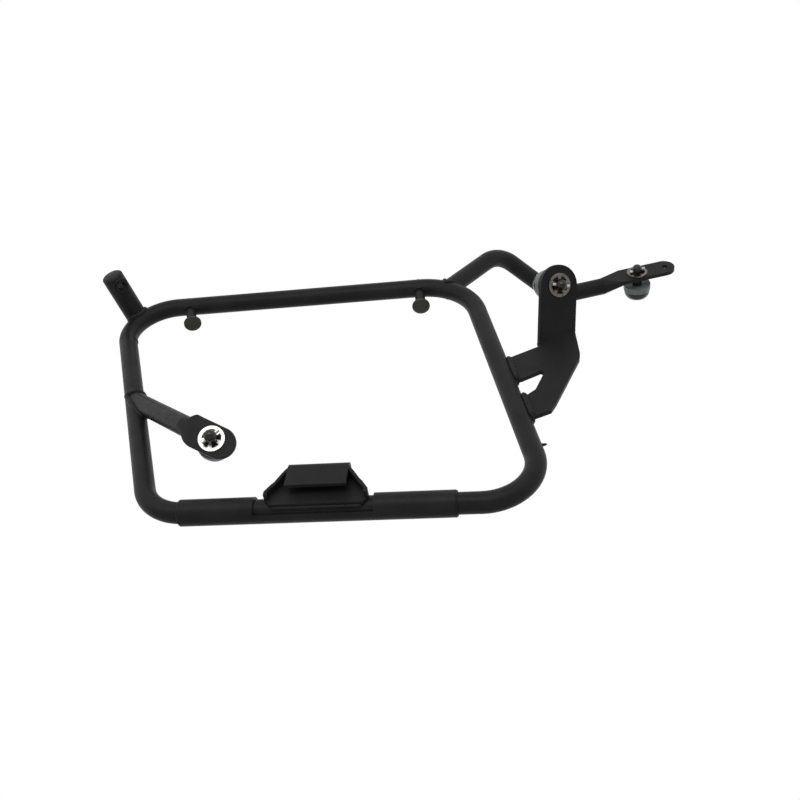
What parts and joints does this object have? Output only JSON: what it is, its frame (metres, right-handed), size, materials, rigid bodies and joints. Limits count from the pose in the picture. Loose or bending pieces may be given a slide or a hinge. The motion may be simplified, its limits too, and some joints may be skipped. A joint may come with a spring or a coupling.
{
  "type": "motorcycle side case carrier",
  "caption": "Bent tube ring for the side of a motorcycle that carries a side case, with a front stub, a folded bracket, a rear arm and quick-release fasteners.",
  "frame": {"origin": "centre of the front stub's bolt bore, where the carrier is bolted to the motorcycle", "axes": "+X towards the motorcycle's rear along the ring's lower rail, +Z square to it in the ring's plane towards the ring's upper rail, -Y towards the motorcycle"},
  "size_m": [0.582, 0.1564, 0.4436],
  "materials": {
    "black_coated_steel": "satin black powder coat",
    "olive_stud": "dark olive satin",
    "zinc_plated_steel": "bright zinc plate",
    "grey_disc": "dull green-grey plate",
    "black_pin": "glossy black",
    "black_knob": "glossy black"
  },
  "bodies": {
    "carrier": {"ring_tube": "black_coated_steel", "rail_sleeve": "black_coated_steel", "case_catch": "black_coated_steel", "stud_front": "olive_stud", "stud_rear": "olive_stud", "front_stub": "black_coated_steel", "stub_cap": "black_coated_steel", "front_bush": "black_coated_steel", "lug_arm": "black_coated_steel", "rear_bracket": "black_coated_steel", "rear_arm": "black_coated_steel", "lug_star_washer": "zinc_plated_steel", "tab_star_washer": "zinc_plated_steel", "arm_star_washer": "zinc_plated_steel"},
    "lug_discs": {"lug_disc_upper": "grey_disc", "lug_disc_lower": "grey_disc"},
    "lug_fastener": {"lug_pin": "black_pin", "lug_cross_pin": "zinc_plated_steel", "lug_knob": "black_knob"},
    "tab_discs": {"tab_disc_upper": "grey_disc", "tab_disc_lower": "grey_disc"},
    "tab_fastener": {"tab_pin": "black_pin", "tab_cross_pin": "zinc_plated_steel", "tab_knob": "black_knob"},
    "arm_discs": {"arm_disc_upper": "grey_disc", "arm_disc_lower": "grey_disc"},
    "arm_fastener": {"arm_pin": "black_pin", "arm_cross_pin": "zinc_plated_steel", "arm_knob": "black_knob"}
  },
  "joints": [
    {"name": "lug_push", "type": "slide", "parent": "carrier", "child": "lug_discs", "axis": [0.1549, -0.848, -0.5068], "range_m": [-0.004, 0.006]},
    {"name": "lug_quarter_turn", "type": "hinge", "parent": "lug_discs", "child": "lug_fastener", "pos_m": [0.1521, 0.00467, -0.23863], "axis": [0.1549, -0.848, -0.5068], "range_deg": [0, 90]},
    {"name": "tab_push", "type": "slide", "parent": "carrier", "child": "tab_discs", "axis": [0.4682, -0.454, -0.7581], "range_m": [0, 0.01]},
    {"name": "tab_quarter_turn", "type": "hinge", "parent": "tab_discs", "child": "tab_fastener", "pos_m": [0.44102, 0.00163, -0.0509], "axis": [0.4682, -0.454, -0.7581], "range_deg": [0, 90]},
    {"name": "arm_push", "type": "slide", "parent": "carrier", "child": "arm_discs", "axis": [0, -1, 0], "range_m": [0, 0.01]},
    {"name": "arm_quarter_turn", "type": "hinge", "parent": "arm_discs", "child": "arm_fastener", "pos_m": [0.52775, 0.11147, 0.1275], "axis": [0, -1, 0], "range_deg": [0, 90]}
  ]
}
